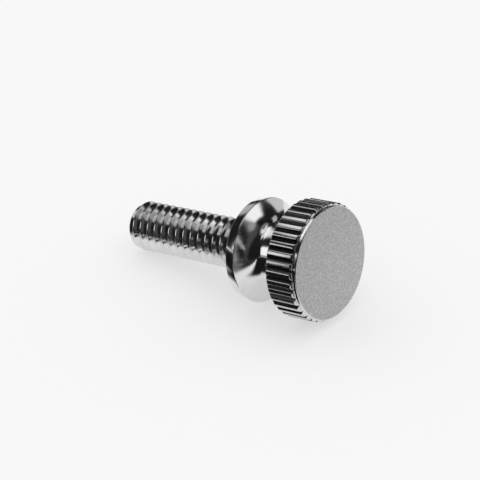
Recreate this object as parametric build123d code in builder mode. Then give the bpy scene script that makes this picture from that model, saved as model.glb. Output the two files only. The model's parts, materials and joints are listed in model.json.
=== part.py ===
"""A knurled thumb screw with a collar, turned from one bar, lying on its side at rest.

The screw is turned about its own axis, with the collar's seat at height 0, the shank below it
and the head above it. It is then laid down on the floor, Z = 0, with the head towards +X, on
the two edges that carry its weight. The shank is plain, at the thread's major diameter.
"""

import itertools
import math
import os

from build123d import *

# Shank, for an 8-32 UNC thread half an inch long (millimetres)
thread_diameter = 4.166
thread_length = 12.7
tip_chamfer = 0.55

# Collar, whose rim narrows a little from its front edge to the seat
collar_diameter = 8.56
collar_thickness = 1.0
rim_narrowing = 0.16
seat_chamfer = 0.14
rim_round = 0.06

# Neck, a short cylinder that flares out into the collar. The flare is a quarter of an ellipse
# with its last degrees left off, so that it meets the rim at a slope.
neck_diameter = 5.5
neck_length = 3.55
flare_depth = 1.5
flare_lip = 0.06
flare_left_off = 60
head_root_radius = 0.3

# Head, a straight-knurled disc with a plain boss, a step inside the knurl's crests, that carries
# the flat end face
knurl_diameter = 9.525
knurl_length = 2.55
knurl_rear_chamfer = 0.16
knurl_front_round = 0.2
boss_step = 0.2225
boss_height = 0.3
face_chamfer = 0.06

# Straight knurl
groove_count = 38
groove_width = 0.44
groove_depth = 0.22
groove_root_radius = 0.02

# Heights on the screw's own axis, and radii
thread_radius = thread_diameter / 2
collar_radius = collar_diameter / 2
neck_radius = neck_diameter / 2
knurl_radius = knurl_diameter / 2
boss_radius = knurl_radius - boss_step
seat_radius = collar_radius - rim_narrowing
head_rear = collar_thickness + neck_length
knurl_front = head_rear + knurl_length
face_height = knurl_front + boss_height


def turned_blank():
    """The screw before it is knurled: its half section, turned about the axis."""
    lip_radius = collar_radius - flare_lip
    lip_height = collar_thickness + rim_round / 2
    flare_start = lip_height + flare_depth
    left_off = math.radians(flare_left_off)
    flare_width = (lip_radius - neck_radius) / (1 - math.sin(left_off))
    rear_edge = (knurl_radius - knurl_rear_chamfer, head_rear)
    with BuildPart() as blank:
        with BuildSketch(Plane.XZ):
            with BuildLine():
                Polyline(
                    (0, face_height),
                    (0, -thread_length),
                    (thread_radius - tip_chamfer, -thread_length),
                    (thread_radius, tip_chamfer - thread_length),
                    (thread_radius, 0),
                    (seat_radius - seat_chamfer, 0),
                    (seat_radius, seat_chamfer),
                    (collar_radius, collar_thickness - rim_round),
                )
                RadiusArc(
                    (collar_radius, collar_thickness - rim_round),
                    (collar_radius - rim_round, collar_thickness),
                    -rim_round,
                )
                Line((collar_radius - rim_round, collar_thickness), (lip_radius, lip_height))
                EllipticalCenterArc(
                    center=(neck_radius + flare_width, flare_start),
                    x_radius=flare_width,
                    y_radius=flare_depth / math.cos(left_off),
                    start_angle=180,
                    arc_size=90 - flare_left_off,
                )
                Line(
                    (neck_radius, flare_start),
                    (neck_radius, head_rear - head_root_radius),
                )
                RadiusArc(
                    (neck_radius, head_rear - head_root_radius),
                    (neck_radius + head_root_radius, head_rear),
                    head_root_radius,
                )
                Polyline(
                    (neck_radius + head_root_radius, head_rear),
                    rear_edge,
                    (knurl_radius, head_rear + knurl_rear_chamfer),
                    (knurl_radius, knurl_front - knurl_front_round),
                )
                RadiusArc(
                    (knurl_radius, knurl_front - knurl_front_round),
                    (knurl_radius - knurl_front_round, knurl_front),
                    -knurl_front_round,
                )
                Polyline(
                    (knurl_radius - knurl_front_round, knurl_front),
                    (boss_radius, knurl_front),
                    (boss_radius, face_height - face_chamfer),
                    (boss_radius - face_chamfer, face_height),
                    (0, face_height),
                )
            make_face()
        revolve(axis=Axis.Z)
    return blank.part


def knurl_grooves(blank):
    """The blank with V grooves along its head, round at the root, one of them facing local +X."""
    groove_root = knurl_radius - groove_depth
    mouth_radius = knurl_radius + groove_depth
    with BuildSketch() as groove:
        with BuildLine():
            Polyline(
                (groove_root, 0),
                (mouth_radius, groove_width),
                (mouth_radius, -groove_width),
                close=True,
            )
        make_face()
        fillet(groove.vertices().sort_by(Axis.X)[0], groove_root_radius)
    with BuildPart() as knurled:
        add(blank)
        with BuildSketch(Plane.XY.offset(head_rear)):
            with PolarLocations(0, groove_count):
                add(groove.sketch)
        extrude(amount=knurl_length, mode=Mode.SUBTRACT)
    return knurled.part


def resting_tilt(edges, centre):
    """The axis's rise above the floor when the screw lies on two of its edges.

    edges are (height, radius) on the axis, and centre is the height of the centre of mass. The
    screw rests on the pair that no other edge reaches below and that the centre lies between.
    """
    for low, high in itertools.combinations(sorted(edges), 2):
        tilt = math.atan2(high[1] - low[1], high[0] - low[0])
        depth = [radius * math.cos(tilt) - height * math.sin(tilt) for height, radius in edges]
        along = [
            height * math.cos(tilt) + radius * math.sin(tilt) for height, radius in (low, high)
        ]
        carries = max(depth) - low[1] * math.cos(tilt) + low[0] * math.sin(tilt) < 1e-9
        if carries and along[0] < centre * math.cos(tilt) < along[1]:
            return tilt
    raise ValueError("the screw has no pair of edges to rest on")


def laid_down(screw):
    """The screw turned onto its side at rest, with its box's lower face centred on the origin."""
    crest_reach = math.sqrt(knurl_radius**2 - (groove_width / 2) ** 2)
    edges = [
        (tip_chamfer - thread_length, thread_radius),
        (seat_chamfer, seat_radius),
        (collar_thickness - rim_round, collar_radius),
        (head_rear + knurl_rear_chamfer, crest_reach),
        (knurl_front - knurl_front_round, crest_reach),
    ]
    tilt = resting_tilt(edges, screw.center(CenterOf.MASS).Z)
    with BuildPart() as lying:
        add(screw, rotation=(0, 90 - math.degrees(tilt), 0))
    box = lying.part.bounding_box()
    return lying.part.moved(Location((-box.center().X, -box.center().Y, -box.min.Z)))


os.makedirs("parts", exist_ok=True)
thumb_screw = laid_down(knurl_grooves(turned_blank()))
thumb_screw.label = "thumb_screw"
export_step(thumb_screw, "parts/thumb_screw.step")
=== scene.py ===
"""Studio picture of a knurled thumb screw, lying at rest on a pale floor.

The screw is turned about its own axis, with the collar's seat at height 0, the shank below it
and the head above it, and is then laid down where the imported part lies. Lengths of the screw
are in millimetres until its mesh is placed; everything in the scene is in metres.
"""

import json
import math

import bmesh
import bpy
import numpy as np
from mathutils import Matrix, Vector


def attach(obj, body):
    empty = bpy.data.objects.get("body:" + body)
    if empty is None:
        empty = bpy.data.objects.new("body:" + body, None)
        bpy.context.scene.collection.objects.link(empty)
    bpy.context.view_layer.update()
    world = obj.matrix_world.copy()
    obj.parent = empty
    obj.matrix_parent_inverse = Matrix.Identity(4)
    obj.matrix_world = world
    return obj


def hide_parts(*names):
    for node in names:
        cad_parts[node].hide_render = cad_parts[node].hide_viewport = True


MM = 0.001

# Thread: 8-32 UNC, right-hand, with the crests and roots a little rounded
PITCH = 25.4 / 32
THREAD_RADIUS = 4.166 / 2
THREAD_LENGTH = 12.7
THREAD_DEPTH = 0.613 * PITCH
CREST_FLAT = PITCH / 8
ROOT_FLAT = PITCH / 6
THREAD_ROUND = 0.04
TIP_CHAMFER = 0.55

# The thread fades out towards the collar, and leaves a short plain length next to it
RUN_OUT = 0.75 * PITCH
PLAIN_LENGTH = 0.15

# Collar and the neck that flares into it. The flare is a quarter of an ellipse, with its last
# degrees left off, so that it meets the rim at a slope
COLLAR_RADIUS = 8.56 / 2
COLLAR_THICKNESS = 1.0
RIM_NARROWING = 0.16
RIM_ROUND = 0.06
SEAT_CHAMFER = 0.14
SEAT_EDGE_ROUND = 0.03
SEAT_RIM_ROUND = 0.05
NECK_RADIUS = 5.5 / 2
NECK_LENGTH = 3.55
NECK_STRAIGHT_START = 0.2
FLARE_DEPTH = 1.5
FLARE_LIP = 0.06
FLARE_LEFT_OFF = 60

# Head: a straight-knurled disc, with a plain boss that carries the flat end face
HEAD_ROOT_RADIUS = 0.3
KNURL_RADIUS = 9.525 / 2
KNURL_LENGTH = 2.55
KNURL_REAR_CHAMFER = 0.16
KNURL_REAR_EDGE_ROUND = 0.04
KNURL_REAR_ROUND = 0.05
KNURL_FRONT_ROUND = 0.2
BOSS_STEP = 0.2225
BOSS_ROOT_ROUND = 0.01
BOSS_HEIGHT = 0.3
FACE_ROUND = 0.078

# Straight knurl
GROOVE_COUNT = 38
GROOVE_WIDTH = 0.44
GROOVE_DEPTH = 0.22
GROOVE_ROOT_ROUND = 0.02
TOOTH_ROUND = 0.2

# Radii, and heights on the screw's own axis, that follow from those above
SEAT_RADIUS = COLLAR_RADIUS - RIM_NARROWING
BOSS_RADIUS = KNURL_RADIUS - BOSS_STEP
HEAD_REAR = COLLAR_THICKNESS + NECK_LENGTH
KNURL_FRONT = HEAD_REAR + KNURL_LENGTH
FACE_HEIGHT = KNURL_FRONT + BOSS_HEIGHT

# Mesh: points round the shank, the radius of the flat caps that close the head's mesh, and
# margins in which a height still counts as the knurl's, or as outside it
THREAD_SEGMENTS = 128
CAP_RADIUS = 0.3
KNURL_MARGIN = 0.01
HEIGHT_MARGIN = 0.001
FACE_MARGIN = 0.004

# The threaded bar is longer than the shank by this many turns, some of them below the tip
SPARE_TURNS = 4
TURNS_BELOW_TIP = 2.5

# Edges that turn more than this, in degrees, show as edges
SHARP_ANGLE = 32

# Recess, from 0 to 1, which darkens the plating as painted shade in grooves and roots: the
# knurl's crests already have some, and the thread's roots have less than the knurl's
CREST_PAINTED_SHADE = 0.25
THREAD_PAINTED_SHADE = 0.32

# Camera: a long lens, where the picture's middle is left of the end face's centre and above it
CAMERA_AZIMUTH = 38.57
CAMERA_ELEVATION = 29.39
CAMERA_DISTANCE = 124.45
CAMERA_LENS = 120
AIM_LEFT_OF_FACE = 7.09
AIM_ABOVE_FACE = 1.815

# Studio, in metres, with a panel's facets in degrees
FLOOR_REACH = 3
PANEL_FACET = 5
WORLD_GREY = 0.94
WORLD_STRENGTH = 1.05


def rounded(corners, steps=3):
    """An open outline with its corners rounded. Each corner is (x, y, radius)."""
    line = [np.array(corners[0][:2], float)]
    for before, corner, after in zip(corners, corners[1:], corners[2:]):
        point, radius = np.array(corner[:2], float), corner[2]
        if radius == 0:
            line.append(point)
            continue
        back = np.array(before[:2], float) - point
        ahead = np.array(after[:2], float) - point
        back /= np.linalg.norm(back)
        ahead /= np.linalg.norm(ahead)
        half = math.acos(np.clip(back @ ahead, -1, 1)) / 2
        middle = (back + ahead) / np.linalg.norm(back + ahead)
        centre = point + middle * radius / math.sin(half)
        start = point + back * radius / math.tan(half) - centre
        end = point + ahead * radius / math.tan(half) - centre
        for step in range(steps + 1):
            mix = start * (1 - step / steps) + end * step / steps
            line.append(centre + mix * radius / np.linalg.norm(mix))
    line.append(np.array(corners[-1][:2], float))
    return line


def arc(centre, x_radius, y_radius, start, end, steps):
    """Points on an ellipse's arc, from one angle to another, in degrees."""
    angles = np.radians(np.linspace(start, end, steps + 1))
    return [
        np.array((centre[0] + x_radius * math.cos(a), centre[1] + y_radius * math.sin(a)))
        for a in angles
    ]


def mesh_object(name, vertices, faces):
    """A mesh object, with its faces turned outwards."""
    mesh = bpy.data.meshes.new(name)
    mesh.from_pydata([tuple(v) for v in vertices], [], faces)
    work = bmesh.new()
    work.from_mesh(mesh)
    bmesh.ops.recalc_face_normals(work, faces=work.faces)
    work.to_mesh(mesh)
    work.free()
    thing = bpy.data.objects.new(name, mesh)
    bpy.context.scene.collection.objects.link(thing)
    return thing


def closed_grid(name, rings):
    """A closed solid from rings of points, all with as many points, capped at both ends."""
    count = len(rings[0])
    vertices = [point for ring in rings for point in ring]
    faces = []
    for low in range(0, (len(rings) - 1) * count, count):
        for k in range(count):
            after = (k + 1) % count
            faces.append((low + k, low + after, low + count + after, low + count + k))
    faces.append(tuple(range(count)))
    faces.append(tuple(range(len(vertices) - count, len(vertices))))
    return mesh_object(name, vertices, faces)


def tooth_outline():
    """The knurl's outline over a whole turn, as (angle, radius), each groove with a round root."""
    half_tooth = math.pi / GROOVE_COUNT
    root = KNURL_RADIUS - GROOVE_DEPTH
    edge = math.asin(GROOVE_WIDTH / 2 / KNURL_RADIUS)
    crest = KNURL_RADIUS * math.cos(half_tooth), KNURL_RADIUS * math.sin(half_tooth)
    corner = KNURL_RADIUS * math.cos(edge), KNURL_RADIUS * math.sin(edge)
    flank_middle = (root + corner[0]) / 2, corner[1] / 2
    side = [(*crest, 0), (*corner, TOOTH_ROUND), (*flank_middle, 0)]
    other_side = [(x, -y, radius) for x, y, radius in side]
    groove = rounded(other_side + [(root, 0, GROOVE_ROOT_ROUND)] + side[::-1])
    one = [(math.atan2(p[1], p[0]), math.hypot(p[0], p[1])) for p in groove[1:]]
    return [
        (angle + turn * 2 * half_tooth, radius)
        for turn in range(GROOVE_COUNT)
        for angle, radius in one
    ]


def turned_line():
    """The outline of the collar, neck and head, as (radius, height), from seat to end face."""
    lip_radius = COLLAR_RADIUS - FLARE_LIP
    lip_height = COLLAR_THICKNESS + RIM_ROUND / 2
    collar = rounded(
        [
            (CAP_RADIUS, 0, 0),
            (SEAT_RADIUS - SEAT_CHAMFER, 0, SEAT_EDGE_ROUND),
            (SEAT_RADIUS, SEAT_CHAMFER, SEAT_RIM_ROUND),
            (COLLAR_RADIUS, COLLAR_THICKNESS, RIM_ROUND),
            (lip_radius, lip_height, 0),
        ],
        steps=4,
    )
    left_off = math.radians(FLARE_LEFT_OFF)
    x_radius = (lip_radius - NECK_RADIUS) / (1 - math.sin(left_off))
    y_radius = FLARE_DEPTH / math.cos(left_off)
    flare = arc(
        (NECK_RADIUS + x_radius, lip_height + FLARE_DEPTH),
        x_radius,
        y_radius,
        -90 - FLARE_LEFT_OFF,
        -180,
        steps=20,
    )
    head = rounded(
        [
            (NECK_RADIUS, lip_height + FLARE_DEPTH + NECK_STRAIGHT_START, 0),
            (NECK_RADIUS, HEAD_REAR, HEAD_ROOT_RADIUS),
            (KNURL_RADIUS - KNURL_REAR_CHAMFER, HEAD_REAR, KNURL_REAR_EDGE_ROUND),
            (KNURL_RADIUS, HEAD_REAR + KNURL_REAR_CHAMFER, KNURL_REAR_ROUND),
            (KNURL_RADIUS, KNURL_FRONT, KNURL_FRONT_ROUND),
            (BOSS_RADIUS, KNURL_FRONT, BOSS_ROOT_ROUND),
            (BOSS_RADIUS, FACE_HEIGHT, FACE_ROUND),
            (CAP_RADIUS, FACE_HEIGHT, 0),
        ],
        steps=6,
    )
    return collar + flare[1:] + head


def turned_head():
    """The collar, neck and knurled head."""
    outline = tooth_outline()
    rings = []
    for radius, height in turned_line():
        knurled = HEAD_REAR - KNURL_MARGIN < height < KNURL_FRONT + KNURL_MARGIN
        ring = []
        for angle, tooth in outline:
            r = min(radius, tooth) if knurled else radius
            ring.append((r * math.cos(angle), r * math.sin(angle), height))
        rings.append(ring)
    return closed_grid("head", rings)


def thread_line():
    """One pitch of the thread, as (share of the pitch, depth below the crest)."""
    crest, root = CREST_FLAT / 2, PITCH / 2 - ROOT_FLAT / 2
    line = rounded(
        [
            (0, 0, 0),
            (crest, 0, THREAD_ROUND),
            (root, THREAD_DEPTH, THREAD_ROUND),
            (PITCH - root, THREAD_DEPTH, THREAD_ROUND),
            (PITCH - crest, 0, THREAD_ROUND),
            (PITCH, 0, 0),
        ]
    )
    return [(x / PITCH, depth) for x, depth in line[:-1]]


def threaded_bar():
    """A right-hand helical thread, longer than the shank both ways, run out below the collar.

    Row by row the points follow one line of the thread's outline, so that crests and roots are
    edges of the mesh. A row's last point is followed by the first of the row one pitch above.
    """
    line = thread_line()
    pitch_rows = len(line)
    rows = pitch_rows * (math.ceil(THREAD_LENGTH / PITCH) + SPARE_TURNS)
    bottom = -THREAD_LENGTH - TURNS_BELOW_TIP * PITCH
    vertices = []
    for row in range(rows):
        turn, place = divmod(row, pitch_rows)
        share, depth = line[place]
        for k in range(THREAD_SEGMENTS):
            angle = 2 * math.pi * k / THREAD_SEGMENTS
            height = bottom + (turn + share + k / THREAD_SEGMENTS) * PITCH
            left = min(max((-height - PLAIN_LENGTH) / RUN_OUT, 0), 1)
            r = THREAD_RADIUS - depth * left * left * (3 - 2 * left)
            vertices.append((r * math.cos(angle), r * math.sin(angle), height))

    def point(row, k):
        """The index of a row's point, where the one after the last is a pitch higher."""
        return (row + pitch_rows * (k // THREAD_SEGMENTS)) * THREAD_SEGMENTS + k % THREAD_SEGMENTS

    faces = []
    for row in range(rows - 1):
        for k in range(THREAD_SEGMENTS):
            if point(row + 1, k + 1) < len(vertices):
                corners = (row, k), (row, k + 1), (row + 1, k + 1), (row + 1, k)
                faces.append(tuple(point(*corner) for corner in corners))
    top, last = rows - 1, THREAD_SEGMENTS - 1
    low_edge = [point(0, k) for k in range(THREAD_SEGMENTS)]
    low_edge += [point(row, 0) for row in range(pitch_rows, 0, -1)]
    high_edge = [point(top, k) for k in range(THREAD_SEGMENTS)]
    high_edge += [point(row, last) for row in range(top - 1, top - pitch_rows - 1, -1)]
    high_end = bottom + (rows / pitch_rows + 2) * PITCH
    for edge, apex in (low_edge, bottom - PITCH), (high_edge, high_end):
        vertices.append((0, 0, apex))
        for a, b in zip(edge, edge[1:] + edge[:1]):
            faces.append((a, b, len(vertices) - 1))
    return mesh_object("threaded_bar", vertices, faces)


def chamfered_bar():
    """A bar a little thicker than the thread, with the shank's length and chamfered tip."""
    spare = 0.1
    outline = [
        (THREAD_RADIUS - TIP_CHAMFER, -THREAD_LENGTH),
        (THREAD_RADIUS + spare, TIP_CHAMFER + spare - THREAD_LENGTH),
        (THREAD_RADIUS + spare, COLLAR_THICKNESS / 2),
    ]
    angles = [2 * math.pi * (k + 0.5) / THREAD_SEGMENTS for k in range(THREAD_SEGMENTS)]
    rings = [[(r * math.cos(a), r * math.sin(a), z) for a in angles] for r, z in outline]
    return closed_grid("chamfered_bar", rings)


def combined(thing, other, operation):
    """One solid made of two, which are used up."""
    modifier = thing.modifiers.new(operation, "BOOLEAN")
    modifier.operation = operation
    modifier.solver = "MANIFOLD"
    modifier.object = other
    graph = bpy.context.evaluated_depsgraph_get()
    mesh = bpy.data.meshes.new_from_object(thing.evaluated_get(graph))
    thing.modifiers.clear()
    thing.data = mesh
    bpy.data.objects.remove(other)
    return thing


def mark_recesses(thing):
    """How deep each point lies in the knurl or the thread, from 0 to 1, kept as an attribute for
    painted shade.
    """
    points = np.array([v.co for v in thing.data.vertices])
    height, radius = points[:, 2], np.hypot(points[:, 0], points[:, 1])
    knurl = [(h, r) for r, h in turned_line() if HEAD_REAR < h < KNURL_FRONT]
    crest = np.interp(height, *zip(*knurl))
    knurled = (height > HEAD_REAR + HEIGHT_MARGIN) & (height < KNURL_FRONT - HEIGHT_MARGIN)
    in_knurl = np.where(knurled, CREST_PAINTED_SHADE + (crest - radius) / GROOVE_DEPTH, 0)
    tip = height + THREAD_LENGTH + THREAD_RADIUS - TIP_CHAMFER
    threaded = (height < -PLAIN_LENGTH) & (height > HEIGHT_MARGIN - THREAD_LENGTH)
    in_thread = np.where(threaded, (np.minimum(tip, THREAD_RADIUS) - radius) / THREAD_DEPTH, 0)
    deepest = np.maximum(in_knurl, in_thread * THREAD_PAINTED_SHADE)
    recess = thing.data.attributes.new("recess", "FLOAT", "POINT")
    recess.data.foreach_set("value", np.clip(deepest, 0, 1))


def whole_screw(face, along):
    """The screw as one closed mesh, laid down with its end face's centre and axis as given."""
    shank = combined(threaded_bar(), chamfered_bar(), "INTERSECT")
    screw = combined(turned_head(), shank, "UNION")
    screw.name = "screw"
    mark_recesses(screw)
    across = Vector((along.z, 0, -along.x))
    place = Matrix((across, (0, 1, 0), along)).transposed().to_4x4() @ Matrix.Scale(MM, 4)
    seat = face - FACE_HEIGHT * MM * along
    screw.data.transform(Matrix.Translation(seat) @ place)
    screw.data.shade_smooth()
    screw.data.set_sharp_from_angle(angle=math.radians(SHARP_ANGLE))
    normals = screw.modifiers.new("normals", "WEIGHTED_NORMAL")
    normals.keep_sharp = True
    return screw


def fill(tree, node, inputs):
    """Sets a node's inputs, or links those whose value is another node's output."""
    for name, value in inputs.items():
        if isinstance(value, bpy.types.NodeSocket):
            tree.links.new(value, node.inputs[name])
        else:
            node.inputs[name].default_value = value


def new_node(tree, kind, inputs=None, **settings):
    """A new node, with its settings and with its inputs set or linked."""
    node = tree.nodes.new(kind)
    for name, value in settings.items():
        setattr(node, name, value)
    fill(tree, node, inputs or {})
    return node


def math_node(tree, operation, *values):
    """A Math node's output, of links or numbers."""
    inputs = dict(enumerate(values))
    return new_node(tree, "ShaderNodeMath", inputs, operation=operation).outputs[0]


def ramp(tree, value, low, high, start, end, smooth=False):
    """A value mapped from one range to another, and kept inside it."""
    inputs = {"Value": value, "From Min": low, "From Max": high, "To Min": start, "To Max": end}
    shape = "SMOOTHSTEP" if smooth else "LINEAR"
    return new_node(tree, "ShaderNodeMapRange", inputs, interpolation_type=shape).outputs[0]


def grey(tree, value):
    """A grey colour from a value."""
    inputs = {"Red": value, "Green": value, "Blue": value}
    return new_node(tree, "ShaderNodeCombineColor", inputs).outputs[0]


def noise(tree, scale, detail):
    """Noise in the object's own space, with so many cells to the metre."""
    place = new_node(tree, "ShaderNodeTexCoord").outputs["Object"]
    inputs = {"Vector": place, "Scale": scale, "Detail": detail}
    return new_node(tree, "ShaderNodeTexNoise", inputs).outputs["Fac"]


def bump(tree, height, strength, distance):
    """A bumped normal, whose distance is in millimetres."""
    inputs = {"Height": height, "Strength": strength, "Distance": distance * MM}
    return new_node(tree, "ShaderNodeBump", inputs).outputs[0]


def white_light(tree, strength):
    """A white emission shader's output."""
    inputs = {"Color": (1, 1, 1, 1), "Strength": strength}
    return new_node(tree, "ShaderNodeEmission", inputs).outputs[0]


def mixed(tree, share, first, second):
    """Two shaders mixed, by the second one's share."""
    inputs = {"Fac": share, 1: first, 2: second}
    return new_node(tree, "ShaderNodeMixShader", inputs).outputs[0]


def node_material(name, level, metallic, roughness):
    """A grey material with its shader's constants set, its nodes to add to, and its shader."""
    material = bpy.data.materials.new(name)
    material.use_nodes = True
    tree = material.node_tree
    shader = tree.nodes["Principled BSDF"]
    colour = (level, level, level, 1)
    fill(tree, shader, {"Base Color": colour, "Metallic": metallic, "Roughness": roughness})
    return material, tree, shader


def plated_metal():
    """Bright plating, with faint mottling, and painted shade that darkens it in the knurl and the
    thread.
    """
    material, tree, shader = node_material("bright_plating", 0.8, 1, 0.11)
    recess = new_node(tree, "ShaderNodeAttribute", attribute_name="recess").outputs["Fac"]
    mottle = noise(tree, 900, 4)
    # Painted shade: the plating's colour darkens with the recess, from crest to groove root
    painted_groove_shade = ramp(tree, recess, 0.12, 0.62, 0.82, 0.06, smooth=True)
    worn = ramp(tree, mottle, 0.3, 0.7, 0.92, 1.04)
    rough = ramp(tree, mottle, 0.35, 0.7, 0.09, 0.17)
    rougher = ramp(tree, recess, 0.1, 0.8, 0, 0.22)
    looks = {
        "Base Color": grey(tree, math_node(tree, "MULTIPLY", painted_groove_shade, worn)),
        "Roughness": math_node(tree, "ADD", rough, rougher),
        "Normal": bump(tree, noise(tree, 6000, 3), 0.12, 0.004),
    }
    fill(tree, shader, looks)
    return material


def satin_face():
    """The faced end, plated but satin, with a fine even grain and faint blotches."""
    material, tree, shader = node_material("satin_face", 0.54, 1, 0.45)
    grain = noise(tree, 9000, 3)
    blotch = noise(tree, 500, 4)
    fine = ramp(tree, grain, 0.3, 0.7, 0.37, 0.7)
    coarse = ramp(tree, blotch, 0.3, 0.7, 0.92, 1.06)
    looks = {
        "Base Color": grey(tree, math_node(tree, "MULTIPLY", fine, coarse)),
        "Roughness": ramp(tree, blotch, 0.3, 0.7, 0.42, 0.52),
        "Normal": bump(tree, grain, 0.35, 0.006),
    }
    fill(tree, shader, looks)
    return material


def dress(screw, face, along):
    """Plates the screw, and gives its flat end face a finish of its own."""
    screw.data.materials.clear()
    screw.data.materials.append(plated_metal())
    screw.data.materials.append(satin_face())
    for polygon in screw.data.polygons:
        if (polygon.center - face).dot(along) > -FACE_MARGIN * MM:
            polygon.material_index = 1


def floor_material():
    """Plain pale paper, whose shadows the camera and the metal see at about half strength."""
    material, tree, shader = node_material("pale_floor", 0.95, 0, 1)
    pale = ramp(tree, noise(tree, 700, 5), 0.3, 0.7, 0.945, 0.955)
    fill(tree, shader, {"Base Color": grey(tree, pale), "Specular IOR Level": 0})
    rays = new_node(tree, "ShaderNodeLightPath").outputs
    seen = math_node(tree, "MAXIMUM", rays["Is Camera Ray"], rays["Is Glossy Ray"])
    share = math_node(tree, "MULTIPLY", seen, 0.55)
    surface = mixed(tree, share, shader.outputs[0], white_light(tree, 0.94))
    fill(tree, tree.nodes["Material Output"], {"Surface": surface})
    return material


def floor_sheet():
    """The floor, far wider than the picture."""
    corners = [(-1, -1), (1, -1), (1, 1), (-1, 1)]
    points = [(x * FLOOR_REACH, y * FLOOR_REACH, 0) for x, y in corners]
    floor = mesh_object("floor", points, [(0, 1, 2, 3)])
    floor.data.materials.append(floor_material())


def direction(azimuth, elevation):
    """The unit vector towards a place in the studio. Azimuth 0 is -Y, and 90 is +X."""
    a, e = math.radians(azimuth), math.radians(elevation)
    return Vector((math.sin(a) * math.cos(e), -math.cos(a) * math.cos(e), math.sin(e)))


def camera(face):
    """The camera, at the picture's angle, with no roll and no shift."""
    back = direction(CAMERA_AZIMUTH, CAMERA_ELEVATION)
    right = Vector((-back.y, back.x, 0)).normalized()
    up = back.cross(right)
    aim = face - AIM_LEFT_OF_FACE * MM * right + AIM_ABOVE_FACE * MM * up
    data = bpy.data.cameras.new("camera")
    data.lens = CAMERA_LENS
    data.clip_start = 0.005
    view = bpy.data.objects.new("camera", data)
    view.matrix_world = Matrix((right, up, back)).transposed().to_4x4()
    view.location = aim + CAMERA_DISTANCE * MM * back
    bpy.context.scene.collection.objects.link(view)
    bpy.context.scene.camera = view


def glow(name, brightness, soft_edge):
    """An emitting material, which fades out towards the edges of the mesh's UV square.

    soft_edge is the fade's share of the width, or a pair of shares along U and V.
    """
    material = bpy.data.materials.new(name)
    material.use_nodes = True
    tree = material.node_tree
    tree.nodes.clear()
    surface = white_light(tree, brightness)
    if soft_edge != 0:
        widths = soft_edge if isinstance(soft_edge, tuple) else (soft_edge, soft_edge)
        place = new_node(tree, "ShaderNodeTexCoord").outputs["UV"]
        sides = new_node(tree, "ShaderNodeSeparateXYZ", {"Vector": place}).outputs
        fades = []
        for side, width in zip("XY", widths):
            far = math_node(tree, "ABSOLUTE", math_node(tree, "SUBTRACT", sides[side], 0.5))
            fades.append(ramp(tree, far, 0.5, 0.5 - width, 0, 1, smooth=True))
        clear = new_node(tree, "ShaderNodeBsdfTransparent").outputs[0]
        surface = mixed(tree, math_node(tree, "MULTIPLY", *fades), clear, surface)
    new_node(tree, "ShaderNodeOutputMaterial", {"Surface": surface})
    return material


def sheet(name, columns, rows, place, brightness, soft_edge):
    """A soft-edged sheet that lights nothing by itself and shows only in polished metal.

    place gives its points for u and v from 0 to 1.
    """
    corners = [(c / columns, r / rows) for r in range(rows + 1) for c in range(columns + 1)]
    faces = []
    for row in range(rows):
        for column in range(columns):
            a = row * (columns + 1) + column
            faces.append((a, a + 1, a + columns + 2, a + columns + 1))
    thing = mesh_object(name, [place(u, v) for u, v in corners], faces)
    layer = thing.data.uv_layers.new(name="sheet")
    for loop in thing.data.loops:
        layer.data[loop.index].uv = corners[loop.vertex_index]
    thing.data.materials.append(glow(name, brightness, soft_edge))
    for rays in "camera", "diffuse", "shadow", "transmission", "volume_scatter":
        setattr(thing, f"visible_{rays}", False)


def panel(name, azimuths, elevations, brightness, soft_edge=0.2, distance=0.3):
    """A panel bent round the screw, between two azimuths and two elevations."""
    (left, right), (low, high) = azimuths, elevations

    def place(u, v):
        return distance * direction(left + u * (right - left), low + v * (high - low))

    columns = max(2, round((right - left) / PANEL_FACET))
    rows = max(2, round((high - low) / PANEL_FACET))
    sheet(name, columns, rows, place, brightness, soft_edge)


def floor_card(name, x_range, y_range, brightness=0.01, soft_edge=0.02, above=0.02):
    """A card lying on the floor, in millimetres."""
    (left, right), (near, far) = x_range, y_range

    def place(u, v):
        return Vector((left + u * (right - left), near + v * (far - near), above)) * MM

    sheet(name, 1, 1, place, brightness, soft_edge)


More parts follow.
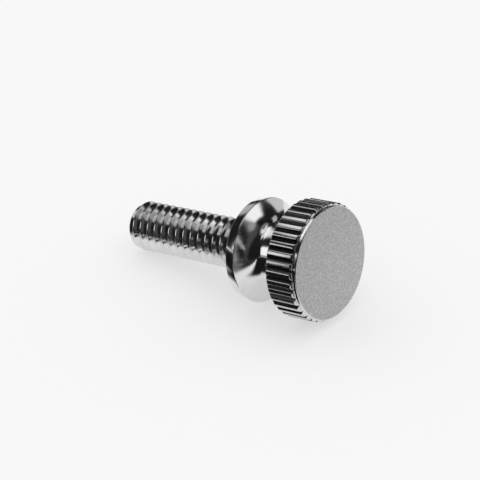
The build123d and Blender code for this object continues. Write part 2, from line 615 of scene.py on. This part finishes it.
def studio():
    """Dark surroundings with soft white panels, and cards on the floor, for the metal only."""
    panel("dark_surround", (-180, 180), (-2, 90), 0.012, soft_edge=0, distance=0.4)
    panel("left_softbox", (-122, -50), (40, 86), 1.05, soft_edge=0.12)
    panel("upper_softbox", (-64, -6), (54, 90), 0.9)
    panel("left_strip", (-56, -33), (1, 26), 1.15, soft_edge=0.14)
    panel("left_fill", (-134, -100), (6, 34), 0.5, soft_edge=0.3)
    panel("rear_left_panel", (-188, -140), (28, 50), 0.5)
    panel("rear_panel", (136, 178), (-2, 20), 0.65, soft_edge=0.12)
    panel("rear_right_panel", (103, 139), (17, 46), 1.1)
    panel("right_panel", (52, 112), (-2, 68), 0.07)
    panel("right_fill", (84, 112), (26, 52), 0.35, soft_edge=0.35, distance=0.29)
    panel("overhead", (-180, 180), (68, 90), 0.2, soft_edge=0)
    panel("overhead_centre", (-180, 80), (75, 90), 0.85, soft_edge=0, distance=0.29)
    floor_card("front_card", (-4, 11), (-390, -4.6), soft_edge=(0.2, 0.004), above=0.04)
    floor_card("left_card", (-90, 6), (-390, -7.2), soft_edge=(0.05, 0.003), above=0.03)
    floor_card("left_grey_card", (-40, 4), (-9, -4.8), 0.42, soft_edge=0.1)
    floor_card("right_card", (14, 300), (-390, 0), 0.03, soft_edge=(0.02, 0.01))


def pale_world():
    """An even pale world, which lights the screw and the floor."""
    world = bpy.data.worlds.new("studio")
    world.use_nodes = True
    tree = world.node_tree
    colour = (WORLD_GREY, WORLD_GREY, WORLD_GREY, 1)
    fill(tree, tree.nodes["Background"], {"Color": colour, "Strength": WORLD_STRENGTH})
    bpy.context.scene.world = world


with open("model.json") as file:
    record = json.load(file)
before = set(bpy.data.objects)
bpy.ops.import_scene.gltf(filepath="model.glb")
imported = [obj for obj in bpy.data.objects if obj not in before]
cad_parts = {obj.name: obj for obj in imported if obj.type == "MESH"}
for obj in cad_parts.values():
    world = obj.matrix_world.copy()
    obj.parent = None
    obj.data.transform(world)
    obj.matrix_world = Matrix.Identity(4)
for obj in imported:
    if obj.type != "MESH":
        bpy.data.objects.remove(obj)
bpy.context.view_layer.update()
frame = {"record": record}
mounts = {mount["name"]: mount for mount in frame["record"]["mounts"]}
face = Vector(mounts["end_face"]["pos_m"])
along = Vector(mounts["end_face"]["axis"])
screw = whole_screw(face, along)
dress(screw, face, along)
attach(screw, "root")
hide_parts("thumb_screw")
camera(face)
floor_sheet()
studio()
pale_world()
bpy.context.scene.view_settings.view_transform = "Standard"
